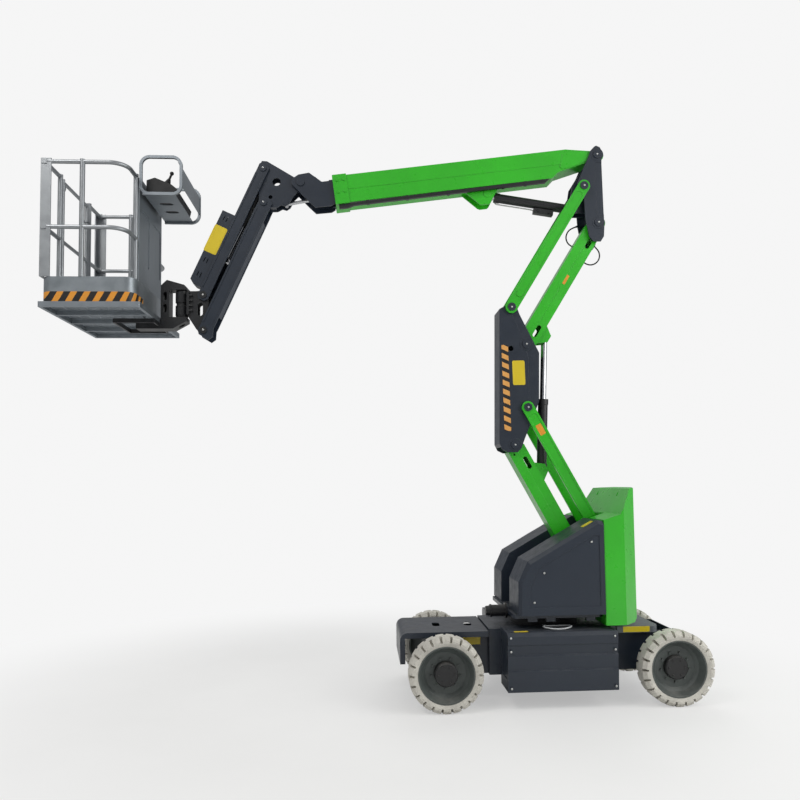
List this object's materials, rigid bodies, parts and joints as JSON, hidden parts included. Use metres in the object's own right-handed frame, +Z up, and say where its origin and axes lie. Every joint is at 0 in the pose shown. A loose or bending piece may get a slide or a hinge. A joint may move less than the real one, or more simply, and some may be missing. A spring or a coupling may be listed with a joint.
{
  "type": "articulating boom lift",
  "caption": "Electric four-wheel articulating boom lift: slewing turret, two-stage riser, telescopic boom, jib and rotating work basket.",
  "frame": {"origin": "on the floor under the centre of the machine's overall box, as it stands with its boom raised to the front", "axes": "+X towards the basket and the steered wheels, +Y to the machine's left, +Z up"},
  "size_m": [5.0288, 1.24, 4.5443],
  "materials": {
    "green_paint": "gloss",
    "dark_paint": "satin",
    "hood_plastic": "satin",
    "grey_paint": "satin",
    "black_paint": "satin",
    "tyre_white": "matte",
    "rim_paint": "satin",
    "hub_black": "satin",
    "ballast_green": "gloss",
    "chrome": "polished",
    "basket_aluminium": "satin",
    "basket_steel": "satin",
    "black_plastic": "matte"
  },
  "bodies": {
    "chassis": {"chassis_frame": "dark_paint", "front_cover": "dark_paint", "rear_deck": "grey_paint", "battery_box_left": "dark_paint", "battery_box_right": "dark_paint", "slew_ring": "black_paint", "drive_units": "hub_black"},
    "steer_left": {"steering_knuckle_left": "hub_black"},
    "steer_right": {"steering_knuckle_right": "hub_black"},
    "wheel_front_left": {"tyre_front_left": "tyre_white", "rim_front_left": "rim_paint"},
    "wheel_front_right": {"tyre_front_right": "tyre_white", "rim_front_right": "rim_paint"},
    "wheel_rear_left": {"tyre_rear_left": "tyre_white", "rim_rear_left": "rim_paint"},
    "wheel_rear_right": {"tyre_rear_right": "tyre_white", "rim_rear_right": "rim_paint"},
    "turret": {"turret_base": "dark_paint", "hood_left": "hood_plastic", "hood_right": "hood_plastic", "counterweight": "ballast_green", "slew_drive": "black_paint"},
    "lower_riser": {"lower_riser": "green_paint"},
    "lower_links": {"lower_links": "green_paint"},
    "mid_upright": {"mid_upright": "dark_paint"},
    "upper_riser": {"upper_riser": "green_paint"},
    "upper_links": {"upper_links": "green_paint"},
    "top_upright": {"top_upright": "dark_paint", "front_hose": "black_plastic", "rear_hose": "black_plastic"},
    "riser_cylinder_barrel": {"riser_cylinder_barrel": "black_paint"},
    "riser_cylinder_rod": {"riser_cylinder_rod": "chrome"},
    "main_boom": {"main_boom": "green_paint", "cable_tray": "black_paint"},
    "boom_cylinder_barrel": {"boom_cylinder_barrel": "black_paint"},
    "boom_cylinder_rod": {"boom_cylinder_rod": "chrome"},
    "fly_boom": {"fly_boom": "dark_paint"},
    "jib_base": {"jib_base": "dark_paint"},
    "level_cylinder_barrel": {"level_cylinder_barrel": "black_paint"},
    "level_cylinder_rod": {"level_cylinder_rod": "chrome"},
    "jib": {"jib_box": "dark_paint"},
    "jib_link": {"jib_link": "dark_paint", "jib_cover": "dark_paint"},
    "jib_cylinder_barrel": {"jib_cylinder_barrel": "black_paint"},
    "jib_cylinder_rod": {"jib_cylinder_rod": "chrome"},
    "platform_knuckle": {"platform_knuckle": "black_paint", "rotator_housing": "black_paint"},
    "basket": {"platform_support": "black_paint", "basket_floor": "basket_aluminium", "toe_boards": "basket_aluminium", "rails_left": "basket_aluminium", "rails_right": "basket_aluminium", "basket_rear_panel": "basket_aluminium", "console_guard": "basket_aluminium", "control_console": "black_plastic"},
    "gate": {"gate": "basket_aluminium"}
  },
  "joints": [
    {"name": "steer_left", "type": "hinge", "parent": "chassis", "child": "steer_left", "pos_m": [-0.47437, 0.42, 0.28], "axis": [0, 0, 1], "range_deg": [-35, 35]},
    {"name": "steer_right", "type": "hinge", "parent": "chassis", "child": "steer_right", "pos_m": [-0.47437, -0.42, 0.28], "axis": [0, 0, 1], "range_deg": [-35, 35]},
    {"name": "wheel_front_left_spin", "type": "hinge", "parent": "steer_left", "child": "wheel_front_left", "pos_m": [-0.47437, 0.531, 0.28], "axis": [0, 1, 0], "continuous": true},
    {"name": "wheel_front_right_spin", "type": "hinge", "parent": "steer_right", "child": "wheel_front_right", "pos_m": [-0.47437, -0.531, 0.28], "axis": [0, 1, 0], "continuous": true},
    {"name": "wheel_rear_left_spin", "type": "hinge", "parent": "chassis", "child": "wheel_rear_left", "pos_m": [-2.23438, 0.531, 0.28], "axis": [0, 1, 0], "continuous": true},
    {"name": "wheel_rear_right_spin", "type": "hinge", "parent": "chassis", "child": "wheel_rear_right", "pos_m": [-2.23438, -0.531, 0.28], "axis": [0, 1, 0], "continuous": true},
    {"name": "turret_swing", "type": "hinge", "parent": "chassis", "child": "turret", "pos_m": [-1.35438, 0, 0.66], "axis": [0, 0, 1], "range_deg": [-177, 177]},
    {"name": "riser_lift", "type": "hinge", "parent": "turret", "child": "lower_riser", "pos_m": [-1.70138, 0, 0.939], "axis": [0, -1, 0], "range_deg": [-52, 3]},
    {"name": "lower_link_turn", "type": "hinge", "parent": "turret", "child": "lower_links", "pos_m": [-1.80937, 0, 1.246], "axis": [0, -1, 0], "range_deg": [-52.5, 3.5]},
    {"name": "mid_upright_level", "type": "hinge", "parent": "lower_riser", "child": "mid_upright", "pos_m": [-1.12115, 0, 2.00764], "axis": [0, -1, 0], "range_deg": [-3.5, 52.5]},
    {"name": "upper_riser_turn", "type": "hinge", "parent": "mid_upright", "child": "upper_riser", "pos_m": [-1.23315, 0, 2.84464], "axis": [0, -1, 0], "range_deg": [-3.5, 52.5]},
    {"name": "upper_link_turn", "type": "hinge", "parent": "mid_upright", "child": "upper_links", "pos_m": [-1.11015, 0, 3.14964], "axis": [0, -1, 0], "range_deg": [-3.5, 52.5]},
    {"name": "top_upright_level", "type": "hinge", "parent": "upper_riser", "child": "top_upright", "pos_m": [-1.87032, 0, 3.88034], "axis": [0, -1, 0], "range_deg": [-52.5, 3.5]},
    {"name": "riser_cylinder_tilt", "type": "hinge", "parent": "lower_riser", "child": "riser_cylinder_barrel", "pos_m": [-1.36466, 0, 1.80645], "axis": [0, -1, 0], "range_deg": [-3.2, 47.36]},
    {"name": "riser_cylinder_stroke", "type": "slide", "parent": "riser_cylinder_barrel", "child": "riser_cylinder_rod", "axis": [-0.0428, 0, 0.9991], "range_m": [-0.43924, 0.02723]},
    {"name": "boom_lift", "type": "hinge", "parent": "top_upright", "child": "main_boom", "pos_m": [-1.87332, 0, 4.46834], "axis": [0, -1, 0], "range_deg": [0, 72]},
    {"name": "boom_cylinder_tilt", "type": "hinge", "parent": "top_upright", "child": "boom_cylinder_barrel", "pos_m": [-1.70032, 0, 4.02634], "axis": [0, -1, 0], "range_deg": [-0.5, 62.88]},
    {"name": "boom_cylinder_stroke", "type": "slide", "parent": "boom_cylinder_barrel", "child": "boom_cylinder_rod", "axis": [0.9894, 0, 0.1453], "range_m": [-0.002, 0.53405]},
    {"name": "boom_extend", "type": "slide", "parent": "main_boom", "child": "fly_boom", "axis": [0.9914, 0, -0.1305], "range_m": [0, 0.9]},
    {"name": "jib_base_level", "type": "hinge", "parent": "fly_boom", "child": "jib_base", "pos_m": [0.62957, 0, 4.21145], "axis": [0, -1, 0], "range_deg": [-72.5, 0.5]},
    {"name": "level_cylinder_tilt", "type": "hinge", "parent": "fly_boom", "child": "level_cylinder_barrel", "pos_m": [0.066, 0, 4.18277], "axis": [0, -1, 0], "range_deg": [-6.92, 0.5]},
    {"name": "level_cylinder_stroke", "type": "slide", "parent": "level_cylinder_barrel", "child": "level_cylinder_rod", "axis": [0.9818, 0, -0.1901], "range_m": [-0.23379, 0.002]},
    {"name": "jib_lift", "type": "hinge", "parent": "jib_base", "child": "jib", "pos_m": [0.93556, 0, 4.04145], "axis": [0, -1, 0], "range_deg": [-3, 110]},
    {"name": "jib_link_turn", "type": "hinge", "parent": "jib_base", "child": "jib_link", "pos_m": [0.93956, 0, 4.33245], "axis": [0, -1, 0], "range_deg": [-3.5, 110.5]},
    {"name": "jib_cylinder_tilt", "type": "hinge", "parent": "jib_base", "child": "jib_cylinder_barrel", "pos_m": [0.93556, 0, 4.22145], "axis": [0, -1, 0], "range_deg": [-3.33, 104.28]},
    {"name": "jib_cylinder_stroke", "type": "slide", "parent": "jib_cylinder_barrel", "child": "jib_cylinder_rod", "axis": [0.4352, 0, -0.9003], "range_m": [-0.29054, 0.00987]},
    {"name": "platform_level", "type": "hinge", "parent": "jib", "child": "platform_knuckle", "pos_m": [1.42138, 0, 2.97049], "axis": [0, -1, 0], "range_deg": [-110.5, 3.5]},
    {"name": "platform_rotate", "type": "hinge", "parent": "platform_knuckle", "child": "basket", "pos_m": [1.60938, 0, 2.97049], "axis": [0, 0, 1], "range_deg": [-90, 90]},
    {"name": "gate_swing", "type": "hinge", "parent": "basket", "child": "gate", "pos_m": [2.48438, -0.266, 3.57049], "axis": [0, 0, 1], "range_deg": [0, 90]}
  ],
  "couplings": [
    {"joint": "steer_right", "follows": "steer_left", "ratio": 1},
    {"joint": "lower_link_turn", "follows": "riser_lift", "ratio": 1},
    {"joint": "mid_upright_level", "follows": "riser_lift", "ratio": -1},
    {"joint": "upper_riser_turn", "follows": "riser_lift", "ratio": -1},
    {"joint": "upper_link_turn", "follows": "riser_lift", "ratio": -1},
    {"joint": "top_upright_level", "follows": "riser_lift", "ratio": 1},
    {"joint": "riser_cylinder_tilt", "follows": "riser_lift", "ratio": -0.90114},
    {"joint": "riser_cylinder_stroke", "follows": "riser_lift", "m_per_rad": 0.48177},
    {"joint": "boom_cylinder_tilt", "follows": "boom_lift", "ratio": 0.86636},
    {"joint": "boom_cylinder_stroke", "follows": "boom_lift", "m_per_rad": 0.42339},
    {"joint": "jib_base_level", "follows": "boom_lift", "ratio": -1},
    {"joint": "level_cylinder_tilt", "follows": "boom_lift", "ratio": -0.089195},
    {"joint": "level_cylinder_stroke", "follows": "boom_lift", "m_per_rad": -0.18446},
    {"joint": "jib_link_turn", "follows": "jib_lift", "ratio": 1},
    {"joint": "jib_cylinder_tilt", "follows": "jib_lift", "ratio": 0.94349},
    {"joint": "jib_cylinder_stroke", "follows": "jib_lift", "m_per_rad": -0.15029},
    {"joint": "platform_level", "follows": "jib_lift", "ratio": -1}
  ]
}
